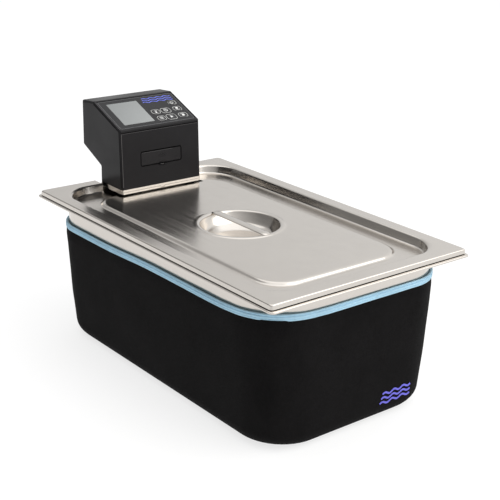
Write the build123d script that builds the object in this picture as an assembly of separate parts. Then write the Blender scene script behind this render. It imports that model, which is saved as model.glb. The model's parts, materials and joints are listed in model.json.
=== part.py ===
from build123d import *
import math
import os

os.makedirs("parts", exist_ok=True)

# Immersion circulator set: water pan, notched lid, neoprene jacket and the clamp-on circulator.
# Frame: +Z up, +Y towards the circulator end, origin on the floor under the middle of the pan.
# The set is drawn on a grid whose unit is GRID mm; save() brings it to real millimetres, so that
# the pan's rim comes out at the standard 530 x 325 mm.
GRID = 0.978

# ---- water pan (gastronorm 1/1, 200 deep) ----
RIM_X = 162.5 / GRID    # half of 325 mm
RIM_Y = 265.0 / GRID    # half of 530 mm
RIM_R = 11.0
RIM_TOP = 208.0
RIM_SKIRT = 4.0
SHEET = 1.2
PAN_FLOOR = 5.0
PAN_LOW = (139.5, 249.0, 70.5)
PAN_HIGH = (153.3, 250.9, 61.5)
PAN_BEND = 28.0

# ---- jacket ----
FOAM = 5.0
JACKET_LOW = (141.5, 251.5, 62.0)
JACKET_HIGH = (157.9, 256.3, 66.5)
JACKET_TOP = 183.4
JACKET_BEND = 22.0
PAN_GAP = 0.4
BIND_Z0 = 176.0
BIND_Z1 = 184.4
BIND_PROUD = 1.1

# ---- lid ----
LID_TOP = 215.0
LID_EDGE = (162.3, 265.3, 5.5)
LID_OUT = (163.3, 266.3, 6.5)
LID_EDGE_Z = 210.4
REST_BEAD = (159.6, 262.6, 6.0)   # inner ridge the lid stands on
RECESS_HIGH = (143.0, 244.0, 47.0)
RECESS_LOW = (139.5, 240.5, 43.5)
TROUGH_Z = 202.2
PANEL_Z = 206.0
PANEL_FOOT = (111.6, 210.6, 39.6)
PANEL_HEAD = (107.8, 206.8, 36.0)
CUP_R = 55.0
CUP_FLOOR = 184.0
BEAD_R = 64.0
NOTCH_X0 = -73.5
NOTCH_X1 = 80.5
NOTCH_Y = 192.4
BAR_Y0 = -61.0
BAR_Y1 = 61.0
BAR_W = 13.0

# ---- circulator head ----
HEAD_X = 4.0           # the head sits 4 mm off the middle of the pan
HW = 70.5
WALL = 2.6
FOOT_Z = 216.0
FRONT_LOW = (195.5, FOOT_Z)
FRONT_HIGH = (200.0, 304.0)
TOP_FRONT = (273.5, 333.5)
TOP_BACK = (305.0, 331.0)
BACK_LOW = (305.0, 262.5)
NECK_HIGH = (255.0, 239.2)
NECK_LOW = (255.0, FOOT_Z)
TRAY_Z0 = 208.0
TRAY_Z1 = 215.2
SHAFT_Y = 223.0

# ---- control panel, measured up the slope from its front edge ----
OVERLAY = (-67.0, 67.0, 2.6, 76.6)
OVERLAY_DEPTH = 0.6
OVERLAY_T = 1.0
LCD = (-54.5, -1.5, 12.0, 67.5)
KEY = 9.6
KEY_GAP = 0.4
KEYS = {
    "key_power": (52.0, 50.0),
    "key_temp": (13.0, 33.5),
    "key_time": (31.0, 33.5),
    "key_up": (52.0, 33.5),
    "key_mode": (13.0, 16.0),
    "key_start": (31.0, 16.0),
    "key_down": (52.0, 16.0),
}
BOARD_DEPTH = 9.0

# ---- clamp ----
CLAMP_Z = 206.0
PAD_Y = RIM_Y + 0.2


def box(x0, x1, y0, y1, z0, z1):
    size = Box(x1 - x0, y1 - y0, z1 - z0)
    return Pos((x0 + x1) / 2, (y0 + y1) / 2, (z0 + z1) / 2) * size


def post(x, y, z0, z1, r):
    return Pos(x, y, (z0 + z1) / 2) * Cylinder(r, z1 - z0)


def rod_y(x, z, y0, y1, r):
    return Pos(x, (y0 + y1) / 2, z) * Rot(90, 0, 0) * Cylinder(r, y1 - y0)


def rod_x(y, z, x0, x1, r):
    return Pos((x0 + x1) / 2, y, z) * Rot(0, 90, 0) * Cylinder(r, x1 - x0)


def outline(dims, z):
    hx, hy, r = dims
    return Pos(0, 0, z) * RectangleRounded(2 * hx, 2 * hy, r)


def frustum(low, z0, high, z1):
    return loft([outline(low, z0), outline(high, z1)], ruled=True)


def grow(dims, d):
    return (dims[0] + d, dims[1] + d, dims[2] + d)


def between(low, high, t):
    return tuple(a + (b - a) * t for a, b in zip(low, high))


def tub(low, z0, high, z1, bend):
    body = frustum(low, z0, high, z1)
    foot = body.faces().sort_by(Axis.Z)[0]
    return fillet(foot.edges(), bend)


def ring(outer, inner, z0, z1):
    hoop = outline(outer, z0) - outline(inner, z0)
    return extrude(hoop, z1 - z0)


def prism(points, x0, x1):
    face = Plane.YZ.offset(x0) * Polygon(*points, align=None)
    return extrude(face, x1 - x0, dir=(1, 0, 0))


def unit(a, b):
    length = math.hypot(b[0] - a[0], b[1] - a[1])
    return ((b[0] - a[0]) / length, (b[1] - a[1]) / length)


def face_plane(a, b):
    up = unit(a, b)
    return Plane(origin=(0, a[0], a[1]), x_dir=(1, 0, 0), z_dir=(0, -up[1], up[0]))


FRONT = face_plane(FRONT_LOW, FRONT_HIGH)
PANEL = face_plane(FRONT_HIGH, TOP_FRONT)


def slab(plane, x0, x1, s0, s1, depth0, depth1, r=0.0):
    w = x1 - x0
    h = s1 - s0
    flat = RectangleRounded(w, h, r) if r else Rectangle(w, h)
    flat = Pos((x0 + x1) / 2, (s0 + s1) / 2, -depth1) * flat
    return plane * extrude(flat, depth1 - depth0)


def stud(plane, x, s, depth0, depth1, r):
    return plane * Pos(x, s, -(depth0 + depth1) / 2) * Cylinder(r, depth1 - depth0)


def save(name, shape, x=0.0):
    placed = scale(Pos(x, 0, 0) * shape, by=GRID)
    placed.position = placed.position * GRID
    solids = placed.solids()
    export_step(Compound(children=list(solids)) if len(solids) > 1 else solids[0], f"parts/{name}.step")


# ================= pan =================
pan_high_z = RIM_TOP
pan = tub(PAN_LOW, PAN_FLOOR, PAN_HIGH, pan_high_z, PAN_BEND)
pan += Pos(0, 0, RIM_TOP - SHEET) * extrude(RectangleRounded(2 * RIM_X, 2 * RIM_Y, RIM_R), SHEET)
pan -= tub(grow(PAN_LOW, -SHEET), PAN_FLOOR + SHEET, grow(PAN_HIGH, -SHEET), pan_high_z + 0.01, PAN_BEND - SHEET)
rim = (RIM_X, RIM_Y, RIM_R)
pan += ring(rim, grow(rim, -SHEET), RIM_TOP - RIM_SKIRT, RIM_TOP)
save("pan", pan)

# ================= jacket =================
pan_at_top = between(PAN_LOW, PAN_HIGH, (BIND_Z1 - PAN_FLOOR) / (pan_high_z - PAN_FLOOR))
cavity = tub(grow(PAN_LOW, PAN_GAP), PAN_FLOOR - PAN_GAP, grow(pan_at_top, PAN_GAP), BIND_Z1 + 0.2, PAN_BEND + PAN_GAP)
jacket = tub(JACKET_LOW, 0, JACKET_HIGH, JACKET_TOP, JACKET_BEND)
jacket -= cavity
jacket += box(-95, 95, -200, 200, PAN_FLOOR - PAN_GAP - 0.1, PAN_FLOOR)
save("jacket_body", jacket)

bind_low = between(JACKET_LOW, JACKET_HIGH, BIND_Z0 / JACKET_TOP)
binding = frustum(grow(bind_low, BIND_PROUD), BIND_Z0, grow(JACKET_HIGH, BIND_PROUD), BIND_Z1)
binding = fillet(binding.edges().group_by(Axis.Z)[-1], 0.9)
binding -= cavity
binding -= frustum(JACKET_LOW, 0, JACKET_HIGH, JACKET_TOP)
save("jacket_binding", binding)

# ================= lid =================
lid = frustum(LID_OUT, LID_EDGE_Z, LID_EDGE, LID_TOP)
lid -= frustum(grow(LID_OUT, -SHEET), LID_EDGE_Z - 0.01, grow(LID_EDGE, -SHEET), LID_TOP - SHEET)
lid += frustum(grow(RECESS_LOW, SHEET), TROUGH_Z - SHEET, grow(RECESS_HIGH, SHEET), LID_TOP - 0.3)
lid -= frustum(RECESS_LOW, TROUGH_Z, RECESS_HIGH, LID_TOP + 0.01)
raised = frustum(PANEL_FOOT, TROUGH_Z, PANEL_HEAD, PANEL_Z)
hollow = frustum(grow(PANEL_FOOT, -SHEET), TROUGH_Z - SHEET - 0.01, grow(PANEL_HEAD, -SHEET), PANEL_Z - SHEET)
lid = lid + raised - hollow
lid += ring(REST_BEAD, grow(REST_BEAD, -SHEET), RIM_TOP, LID_TOP - 0.6)
lid -= box(NOTCH_X0, NOTCH_X1, NOTCH_Y, 300, 190, 230)
hem = box(NOTCH_X0 - SHEET, NOTCH_X1 + SHEET, NOTCH_Y - SHEET, 239, TROUGH_Z - SHEET - 2.0, TROUGH_Z - 0.4)
hem -= box(NOTCH_X0, NOTCH_X1, NOTCH_Y, 260, 190, 230)
lid += hem
lid += box(NOTCH_X0 - SHEET, NOTCH_X1 + SHEET, NOTCH_Y - SHEET, NOTCH_Y, TROUGH_Z - 1, PANEL_Z - 0.3)

cup_out = [
    (0, CUP_FLOOR - SHEET),
    (34, CUP_FLOOR - SHEET),
    (50, CUP_FLOOR + 6),
    (CUP_R + SHEET, PANEL_Z - 3),
    (CUP_R + SHEET, PANEL_Z + 1.1),
    (0, PANEL_Z + 1.1),
]
cup_in = [
    (0, CUP_FLOOR),
    (33.6, CUP_FLOOR),
    (49, CUP_FLOOR + 6.8),
    (CUP_R, PANEL_Z - 2.6),
    (CUP_R, PANEL_Z + 5),
    (0, PANEL_Z + 5),
]
cup = revolve(Plane.XZ * Polygon(*cup_out, align=None), Axis.Z)
cup_hole = revolve(Plane.XZ * Polygon(*cup_in, align=None), Axis.Z)
bead = revolve(
    Plane.XZ * Polygon((CUP_R, PANEL_Z - SHEET), (BEAD_R, PANEL_Z - SHEET), (BEAD_R, PANEL_Z),
                       (BEAD_R - 2.5, PANEL_Z + 1.1), (CUP_R, PANEL_Z + 1.1), align=None),
    Axis.Z,
)
lid = lid + cup + bead - cup_hole
save("lid_shell", lid)

bar = extrude(Pos(0, (BAR_Y0 + BAR_Y1) / 2, PANEL_Z + 1.1) * RectangleRounded(BAR_W, BAR_Y1 - BAR_Y0, 2.5), 2.5)
bar = fillet(bar.faces().sort_by(Axis.Z)[-1].edges(), 0.9)
save("lid_handle", bar)

# ================= circulator head =================
profile = [FRONT_LOW, FRONT_HIGH, TOP_FRONT, TOP_BACK, BACK_LOW, NECK_HIGH, NECK_LOW]
skin = make_face(Polyline(*profile, close=True))
upper = skin.vertices().filter_by(lambda v: v.Y > FOOT_Z + 1)
skin = fillet(upper, 3.0)
shell = extrude(Plane.YZ.offset(-HW) * skin, 2 * HW, dir=(1, 0, 0))
rims = shell.edges().filter_by(lambda e: abs(abs(e.center().X) - HW) < 0.01 and e.center().Z > FOOT_Z + 0.1)
shell = fillet(rims, 2.6)
inside = make_face(Polyline(*profile, close=True))
inside = offset(inside, -WALL, kind=Kind.INTERSECTION)
room = extrude(Plane.YZ.offset(-HW + WALL) * inside, 2 * (HW - WALL), dir=(1, 0, 0))
room += box(-HW + WALL, HW - WALL, FRONT_LOW[0] + WALL + 0.4, NECK_LOW[0] - WALL, FOOT_Z - 1, FOOT_Z + 8)
housing = shell - room

# parting lines: one runs round the front and panel edges of both sides, one across the front
seam_mask = Plane.YZ * Polygon((180, 222), (214, 222), (220, 300), (302, 324), (302, 345), (180, 345), align=None)
seam = offset(make_face(Polyline(*profile, close=True)), -2.7, kind=Kind.INTERSECTION)
seam -= offset(make_face(Polyline(*profile, close=True)), -3.4, kind=Kind.INTERSECTION)
for side in (-1, 1):
    x_in = side * (HW - 0.9)
    groove = extrude(Plane.YZ.offset(x_in) * seam, 2, dir=(side, 0, 0))
    housing -= groove & extrude(seam_mask, 200, both=True)
housing -= slab(FRONT, -HW - 1, HW + 1, 83.4, 84.1, -1, 0.8)

# pocket behind the front flap
FLAP_U0 = 31.0
FLAP_U1 = 50.2
FLAP_X = 35.1
housing += slab(FRONT, -41, 41, 26, 57, 2.0, 8.0)
housing -= slab(FRONT, -35.5, 35.5, FLAP_U0 - 0.5, FLAP_U1 + 1.5, -1, 2.7, 1.0)
housing -= slab(FRONT, -30, 30, 34.5, 47, 2, 6.5, 2.0)
housing -= FRONT * Pos(2, FLAP_U0 - 0.2, 0) * scale(Sphere(1), by=(9.5, 4.4, 1.9))
PIN_R = 0.6
housing -= FRONT * Pos(0, FLAP_U1, -1.3) * Rot(0, 90, 0) * Cylinder(PIN_R, 77)

# panel recess, display window and key holes
housing -= slab(PANEL, OVERLAY[0], OVERLAY[1], OVERLAY[2], OVERLAY[3], -1, OVERLAY_DEPTH + OVERLAY_T, 3)
housing -= slab(PANEL, LCD[0] + 2, LCD[1] - 2, LCD[2] + 2, LCD[3] - 2, 0, WALL + 1)
hole = KEY / 2 + KEY_GAP
for x, s in KEYS.values():
    housing -= slab(PANEL, x - hole, x + hole, s - hole, s + hole, 0, WALL + 1, 1.6)
for x in (-61, 61):
    for s in (9, 70):
        housing += stud(PANEL, x, s, WALL - 0.5, BOARD_DEPTH, 2.5)

# corner posts that take the tray screws
for x in (-62, 62):
    for y in (204.5, 242):
        housing += post(x, y, FOOT_Z, 236, 4.2) - post(x, y, FOOT_Z - 1, 232, 1.5)
        side = math.copysign(HW - 1, x)
        housing += box(min(x, side), max(x, side), y - 1.2, y + 1.2, FOOT_Z, 236) - post(x, y, FOOT_Z - 1, 232, 1.5)

# rear opening with a seat for the cover
BACK_Y = TOP_BACK[0]
housing -= box(-60, 60, BACK_Y - 1.3, BACK_Y + 5, 269, 325)
housing -= box(-56, 56, BACK_Y - 10, BACK_Y, 273, 321)
save("head_housing", housing, HEAD_X)

overlay_top = OVERLAY_DEPTH
overlay_low = OVERLAY_DEPTH + OVERLAY_T
overlay = slab(PANEL, OVERLAY[0] + 0.1, OVERLAY[1] - 0.1, OVERLAY[2] + 0.1, OVERLAY[3] - 0.1, overlay_top, overlay_low, 2.9)
overlay -= slab(PANEL, LCD[0], LCD[1], LCD[2], LCD[3], 0, 3, 1.0)
for x, s in KEYS.values():
    overlay -= slab(PANEL, x - hole, x + hole, s - hole, s + hole, 0, 3, 1.6)
save("control_overlay", overlay, HEAD_X)

window = slab(PANEL, LCD[0] + 0.1, LCD[1] - 0.1, LCD[2] + 0.1, LCD[3] - 0.1, overlay_top, overlay_low, 0.9)
save("lcd_window", window, HEAD_X)
module = slab(PANEL, LCD[0] - 1.5, LCD[1] + 1.5, LCD[2] - 1.5, LCD[3] + 1.5, WALL + 0.2, 7.0)
module += slab(PANEL, LCD[0] + 3, LCD[1] - 3, LCD[2] + 3, LCD[3] - 3, 7.0, BOARD_DEPTH)
save("lcd_module", module, HEAD_X)

half = KEY / 2
for name, (x, s) in KEYS.items():
    key = slab(PANEL, x - half, x + half, s - half, s + half, overlay_top - 0.3, WALL + 0.4, 1.3)
    key += slab(PANEL, x - 6, x + 6, s - 6, s + 6, WALL + 0.4, WALL + 1.4, 1.0)
    save(name, key, HEAD_X)

board = slab(PANEL, -64.5, 64.5, 5, 74, BOARD_DEPTH, BOARD_DEPTH + 1.6, 2)
board += slab(PANEL, 8, 26, 20, 38, BOARD_DEPTH + 1.6, BOARD_DEPTH + 3.4)
board += slab(PANEL, -46, -14, 58, 66, BOARD_DEPTH + 1.6, BOARD_DEPTH + 8)
save("control_board", board, HEAD_X)

switches = Part()
for x, s in KEYS.values():
    switches += slab(PANEL, x - 3, x + 3, s - 3, s + 3, 5.6, BOARD_DEPTH, 0.5)
    switches += stud(PANEL, x, s, 4.7, 5.6, 1.75)
save("key_switches", switches, HEAD_X)

power = box(-50, 50, 262, 263.6, 254, 306)
power += rod_y(-10, 290, 248, 262, 6.0)
power += rod_y(-27, 290, 250, 262, 5.0)
power += box(-46, -34, 250, 262, 266, 282)
power += box(-24, 0, 252, 262, 258, 272)
save("power_board", power, HEAD_X)

core = box(9, 43, 238, 262, 276, 300)
core -= box(13, 18, 230, 262.1, 281, 295) + box(34, 39, 230, 262.1, 281, 295)
winding = box(17, 35, 235, 261, 280.5, 295.5)
save("transformer", core + winding, HEAD_X)

sink = box(-48, -18, 263.6, 267, 262, 300)
for k in range(7):
    x = -48 + k * 4.7
    sink += box(x, x + 1.6, 267, 283, 262, 300)
save("triac_heatsink", sink, HEAD_X)

# ---- motor and drive ----
MOTOR_R = 16.5
can = post(0, SHAFT_Y, 219, 262, MOTOR_R) - post(0, SHAFT_Y, 220.5, 260.5, MOTOR_R - 1.3)
can -= post(0, SHAFT_Y, 215, 265, 7.0)
windows = Part()
for k in range(6):
    windows += Pos(0, SHAFT_Y, 254) * Rot(0, 0, 60 * k) * Pos(MOTOR_R, 0, 0) * Box(8, 6, 5)
save("motor_can", can - windows, HEAD_X)

bearings = Part()
for z0, z1, r in ((219, 224, 7.0), (257, 262, 7.0), (89, 95, 9.0)):
    bearings += post(0, SHAFT_Y, z0, z1, r) - post(0, SHAFT_Y, z0 - 1, z1 + 1, 3.05)
save("shaft_bearings", bearings, HEAD_X)

bracket = box(-28, 28, 204.5, 241.5, 216.5, 219)
bracket = fillet(bracket.edges().filter_by(Axis.Z), 5)
bracket -= post(0, SHAFT_Y, 210, 225, 8)
FOOTS = [(x, SHAFT_Y + d) for x in (-22, 22) for d in (-14, 14)]
for x, y in FOOTS:
    bracket += post(x, y, 209.5, 216.5, 3.5)
save("motor_bracket", bracket, HEAD_X)

motor_screws = Part()
for x, y in FOOTS:
    motor_screws += post(x, y, 219, 221.2, 2.9)
save("motor_screws", motor_screws, HEAD_X)

shaft = post(0, SHAFT_Y, 57, 276, 3.0) + post(0, SHAFT_Y, 226, 255, 11.0)
save("drive_shaft", shaft, HEAD_X)

fan = post(0, SHAFT_Y, 264, 272, 5.0)
for k in range(7):
    blade = Pos(0, SHAFT_Y, 268) * Rot(0, 0, 360 / 7 * k) * Pos(9.6, 0, 0) * Rot(38, 0, 0) * Box(11, 7.5, 1.2)
    fan += blade
fan -= post(0, SHAFT_Y, 250, 280, 3.0)
save("cooling_fan", fan, HEAD_X)

# ---- base tray ----
TRAY_Y0 = 195.2
TRAY_Y1 = 255.3
tray = box(-HW, HW, TRAY_Y0, TRAY_Y1, TRAY_Z0, TRAY_Z1)
tray = fillet(tray.edges().filter_by(Axis.Z), 2.5)
tray = fillet(tray.faces().sort_by(Axis.Z)[0].edges(), 0.8)
tray -= box(-HW + 1.5, HW - 1.5, TRAY_Y0 + 1.5, TRAY_Y1 - 1.5, TRAY_Z0 + 1.5, TRAY_Z1 + 1)
PROBE = (34.0, 211.0)
STEM = (40.0, 232.0)
COIL_X = (-50.0, -32.0)
COIL_Y = (213.0, 233.0)
tray -= post(0, SHAFT_Y, 200, 220, 11.0)
tray -= post(PROBE[0], PROBE[1], 200, 220, 3.0)
tray -= post(STEM[0], STEM[1], 200, 220, 2.5)
for x in COIL_X:
    tray -= post(x, COIL_Y[0], 200, 220, 3.6)
TRAY_SCREWS = [(x, y) for x in (-62, 62) for y in (204.5, 242)]
SHROUD_SCREWS = [(x, SHAFT_Y + d) for x in (-44, 44) for d in (-18.4, 18.4)]
for x, y in TRAY_SCREWS:
    tray += post(x, y, TRAY_Z0 + 1, FOOT_Z, 4.2)
    tray -= post(x, y, 200, 220, 1.5)
for x, y in SHROUD_SCREWS:
    tray += post(x, y, TRAY_Z0 + 1, TRAY_Z0 + 4.5, 3.0)
    tray -= post(x, y, 200, 220, 1.5)
for x in (-12, 12):
    tray -= rod_y(x, 212, 250, 260, 1.5)
save("base_tray", tray, HEAD_X)

gasket = box(-HW + 0.3, HW - 0.3, TRAY_Y0 + 0.6, TRAY_Y1 - 0.6, TRAY_Z1, FOOT_Z)
gasket = fillet(gasket.edges().filter_by(Axis.Z), 2.2)
gasket -= box(-HW + 2.6, HW - 2.6, TRAY_Y0 + 3.2, TRAY_Y1 - 3.0, TRAY_Z1 - 1, FOOT_Z + 1)
save("base_gasket", gasket, HEAD_X)

tray_screws = Part()
for x, y in TRAY_SCREWS:
    tray_screws += post(x, y, TRAY_Z0 - 1.8, TRAY_Z0, 2.8) + post(x, y, TRAY_Z0, 230, 1.5)
save("tray_screws", tray_screws, HEAD_X)

# ---- rear cover, inlet and switch ----
SEAT_Y = BACK_Y - 1.3
INLET = (34.0, 297.0)
SWITCH = (4.0, 297.0)
cover = box(-59.8, 59.8, SEAT_Y, BACK_Y - 0.1, 269.2, 324.8)
cover = fillet(cover.edges().filter_by(Axis.Y), 3)
cover += box(-55.8, 55.8, SEAT_Y - 1.3, SEAT_Y, 273.2, 320.8)
cover -= box(INLET[0] - 13.6, INLET[0] + 13.6, 290, 310, INLET[1] - 10.1, INLET[1] + 10.1)
cover -= box(SWITCH[0] - 6.4, SWITCH[0] + 6.4, 290, 310, SWITCH[1] - 9.6, SWITCH[1] + 9.6)
for k in range(9):
    x = -52 + k * 4.4
    cover -= box(x, x + 2.2, 290, 310, 279, 315)
COVER_SCREWS = [(x, z) for x in (-57.8, 57.8) for z in (271.2, 322.8)]
for x, z in COVER_SCREWS:
    cover -= rod_y(x, z, 290, 310, 1.2)
save("rear_cover", cover, HEAD_X)

rear_screws = Part()
for x, z in COVER_SCREWS:
    rear_screws += rod_y(x, z, BACK_Y - 0.1, BACK_Y + 1.3, 1.9) + rod_y(x, z, SEAT_Y, BACK_Y - 0.1, 1.2)
save("rear_screws", rear_screws, HEAD_X)

inlet = box(INLET[0] - 13.5, INLET[0] + 13.5, 284, BACK_Y - 0.1, INLET[1] - 10, INLET[1] + 10)
flange = box(INLET[0] - 15.6, INLET[0] + 15.6, BACK_Y - 0.1, BACK_Y + 1.9, INLET[1] - 12.3, INLET[1] + 12.3)
inlet += fillet(flange.edges().filter_by(Axis.Y), 2)
mouth = Polygon((-12, -8), (12, -8), (12, 4), (8, 8), (-8, 8), (-12, 4), align=None)
mouth = Plane(origin=(INLET[0], BACK_Y + 3, INLET[1]), x_dir=(1, 0, 0), z_dir=(0, -1, 0)) * mouth
inlet -= extrude(mouth, 15.5, dir=(0, -1, 0))
for x, z in ((-7, -1.5), (0, 2.5), (7, -1.5)):
    inlet += box(INLET[0] + x - 1, INLET[0] + x + 1, 284, 301, INLET[1] + z - 2, INLET[1] + z + 2)
save("mains_inlet", inlet, HEAD_X)

PIVOT_Y = 301.0
frame = box(SWITCH[0] - 6.3, SWITCH[0] + 6.3, 289, BACK_Y - 0.1, SWITCH[1] - 9.5, SWITCH[1] + 9.5)
frame += box(SWITCH[0] - 7.8, SWITCH[0] + 7.8, BACK_Y - 0.1, BACK_Y + 1.5, SWITCH[1] - 11, SWITCH[1] + 11)
frame -= rod_x(PIVOT_Y, SWITCH[1], SWITCH[0] - 5.4, SWITCH[0] + 5.4, 8.8)
frame -= box(SWITCH[0] - 5.4, SWITCH[0] + 5.4, 303, 310, SWITCH[1] - 8.8, SWITCH[1] + 8.8)
frame -= rod_x(PIVOT_Y, SWITCH[1], SWITCH[0] - 6.0, SWITCH[0] + 6.0, 1.05)
save("switch_frame", frame, HEAD_X)

vee = [(-4.5, -4.5), (1.0, -8.2), (6.4, -7.4), (5.2, 0), (6.4, 7.4), (1.0, 8.2), (-4.5, 4.5)]
rocker = prism(vee, -5.0, 5.0) & (Rot(0, 90, 0) * Cylinder(8.4, 12) + Pos(0, 5, 0) * Box(12, 8, 15.4))
rocker += Rot(0, 90, 0) * Cylinder(1.0, 11.8)
rocker = Pos(SWITCH[0], PIVOT_Y, SWITCH[1]) * Rot(8, 0, 0) * rocker
save("power_rocker", rocker, HEAD_X)

# ---- front flap ----
flap = slab(FRONT, -FLAP_X, FLAP_X, FLAP_U0, FLAP_U1, 0.2, 2.4)
flap = fillet(flap.edges().filter_by(Axis.X).sort_by(Axis.Z)[:2], 0.6)
flap += FRONT * Pos(0, FLAP_U1, -1.3) * Rot(0, 90, 0) * Cylinder(1.1, 2 * FLAP_X - 1.4)
flap -= FRONT * Pos(0, FLAP_U1, -1.3) * Rot(0, 90, 0) * Cylinder(PIN_R + 0.05, 90)
flap -= FRONT * Pos(2, FLAP_U0 - 0.2, 0) * scale(Sphere(1), by=(8.0, 3.2, 1.2))
save("front_flap", flap, HEAD_X)
pin = FRONT * Pos(0, FLAP_U1, -1.3) * Rot(0, 90, 0) * Cylinder(PIN_R, 77)
save("flap_pin", pin, HEAD_X)

# ================= clamp =================
STRAP_Y0 = TRAY_Y1
LEG_Y = 285.5
strap = box(-20, 20, STRAP_Y0, STRAP_Y0 + 2.5, 208.6, 232)
strap += box(-20, 20, STRAP_Y0, LEG_Y + 2.5, 229.5, 232)
strap += box(-20, 20, LEG_Y, LEG_Y + 2.5, 192, 232)
strap = fillet(strap.edges().filter_by(Axis.X).filter_by(lambda e: e.center().Z > 231), 2.2)
strap += rod_y(0, CLAMP_Z, LEG_Y - 0.8, LEG_Y + 6, 8)
strap -= rod_y(0, CLAMP_Z, LEG_Y - 10, LEG_Y + 10, 4.05)
for x in (-12, 12):
    strap -= rod_y(x, 212, 250, 262, 1.5)
save("clamp_bracket", strap, HEAD_X)

strap_screws = Part()
for x in (-12, 12):
    strap_screws += rod_y(x, 212, STRAP_Y0 + 2.5, STRAP_Y0 + 4.5, 2.8) + rod_y(x, 212, 251.5, STRAP_Y0 + 2.5, 1.5)
save("clamp_bracket_screws", strap_screws, HEAD_X)

pad = rod_y(0, CLAMP_Z, PAD_Y, PAD_Y + 4, 10)
pad = fillet(pad.edges(), 0.8)
pad += rod_y(0, CLAMP_Z, PAD_Y + 4, PAD_Y + 7, 6)
pad -= rod_y(0, CLAMP_Z, PAD_Y + 4, PAD_Y + 12, 4.05)
save("clamp_pad", pad, HEAD_X)

KNOB_Y = 297.0
save("clamp_screw", rod_y(0, CLAMP_Z, PAD_Y + 4.4, KNOB_Y + 9, 4.0), HEAD_X)
knob = rod_y(0, CLAMP_Z, KNOB_Y, KNOB_Y + 13, 13)
knob = fillet(knob.edges(), 1.5)
for k in range(6):
    a = math.radians(60 * k)
    lobe = rod_y(11 * math.cos(a), CLAMP_Z + 11 * math.sin(a), KNOB_Y, KNOB_Y + 13, 4)
    knob += fillet(lobe.edges(), 1.2)
knob -= rod_y(0, CLAMP_Z, KNOB_Y - 1, KNOB_Y + 9, 4.0)
save("clamp_knob", knob, HEAD_X)

# ================= immersed part =================
SHROUD_X = 55.0
SHROUD_Y = 22.0
SHROUD_Z0 = 44.0


def tube_outline(hx, hy, r, z):
    return Pos(0, SHAFT_Y, z) * RectangleRounded(2 * hx, 2 * hy, r)


shroud = extrude(tube_outline(SHROUD_X, SHROUD_Y, 10, SHROUD_Z0), TRAY_Z0 - SHROUD_Z0)
shroud -= extrude(tube_outline(SHROUD_X - 1, SHROUD_Y - 1, 9, SHROUD_Z0 + 1), TRAY_Z0 - 1 - SHROUD_Z0 - 1)
shroud -= extrude(tube_outline(SHROUD_X - 8, SHROUD_Y - 6, 4, TRAY_Z0 - 2), 4)
shroud -= box(-SHROUD_X + 1, -28, COIL_Y[0] - 4.2, COIL_Y[0] + 4.2, TRAY_Z0 - 2, TRAY_Z0 + 1)
for k in range(9):
    x = -44 + 11 * k
    for z in (62, 114):
        shroud -= box(x - 2.5, x + 2.5, 190, 260, z, z + 42)
for y in (SHAFT_Y - 11, SHAFT_Y + 11):
    for z in (62, 114):
        shroud -= box(-60, 60, y - 2.5, y + 2.5, z, z + 42)
for k in range(-3, 4):
    shroud -= box(k * 11 - 2.5, k * 11 + 2.5, SHAFT_Y - 14, SHAFT_Y + 14, SHROUD_Z0 - 1, SHROUD_Z0 + 2)
NOZZLE_Z = 70.0
shroud -= rod_x(SHAFT_Y, NOZZLE_Z, 50, 60, 7.2)
for x, y in SHROUD_SCREWS:
    shroud -= post(x, y, TRAY_Z0 - 3, TRAY_Z0 + 2, 1.5)
save("shroud", shroud, HEAD_X)

shroud_screws = Part()
for x, y in SHROUD_SCREWS:
    shroud_screws += post(x, y, TRAY_Z0 - 3, TRAY_Z0 - 1, 2.4) + post(x, y, TRAY_Z0 - 1, TRAY_Z0 + 4.5, 1.5)
save("shroud_screws", shroud_screws, HEAD_X)

x0, x1 = COIL_X
y0, y1 = COIL_Y
path = FilletPolyline(
    (x0, y0, 215), (x0, y0, 62), (x0, y1, 62), (x0, y1, 190),
    (x1, y1, 190), (x1, y1, 62), (x1, y0, 62), (x1, y0, 215),
    radius=8,
)
coil = sweep(Plane(origin=(x0, y0, 215), z_dir=(0, 0, -1)) * Circle(3.5), path)
save("heater_coil", coil, HEAD_X)

column = post(0, SHAFT_Y, 88, 209.5, 11.0) + post(0, SHAFT_Y, 209.5, 211.5, 15)
column -= post(0, SHAFT_Y, 80, 215, 9.0)
save("pump_column", column, HEAD_X)

VOLUTE_R = 20.0
volute = post(0, SHAFT_Y, 54, 88, VOLUTE_R) - post(0, SHAFT_Y, 50, 86, VOLUTE_R - 1.5)
volute -= post(0, SHAFT_Y, 80, 90, 8.0)
volute -= rod_x(SHAFT_Y, NOZZLE_Z, 10, 25, 7.0)
save("volute", volute, HEAD_X)
cover_plate = post(0, SHAFT_Y, 52, 54, VOLUTE_R) - post(0, SHAFT_Y, 50, 56, 8.5)
save("volute_cover", cover_plate, HEAD_X)

nozzle = rod_x(SHAFT_Y, NOZZLE_Z, 18.4, 62, 7.0) - rod_x(SHAFT_Y, NOZZLE_Z, 10, 70, 5.5)
nozzle -= post(0, SHAFT_Y, 54, 86, VOLUTE_R - 1.5)
save("outlet_nozzle", nozzle, HEAD_X)

impeller = post(0, SHAFT_Y, 60, 83, 6.0) + post(0, SHAFT_Y, 78, 80, 16.0)
for k in range(6):
    impeller += Pos(0, SHAFT_Y, 69.5) * Rot(0, 0, 60 * k) * Pos(10, 2, 0) * Rot(0, 0, 22) * Box(11, 1.6, 17.6)
impeller -= post(0, SHAFT_Y, 50, 90, 3.0)
save("impeller", impeller, HEAD_X)

probe = post(PROBE[0], PROBE[1], 84, 214, 3.0)
probe += extrude(Pos(PROBE[0], PROBE[1], 209.5) * RegularPolygon(6, 6), 3.5)
probe = fillet(probe.edges().group_by(Axis.Z)[0], 2.4)
save("temp_probe", probe, HEAD_X)

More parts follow.
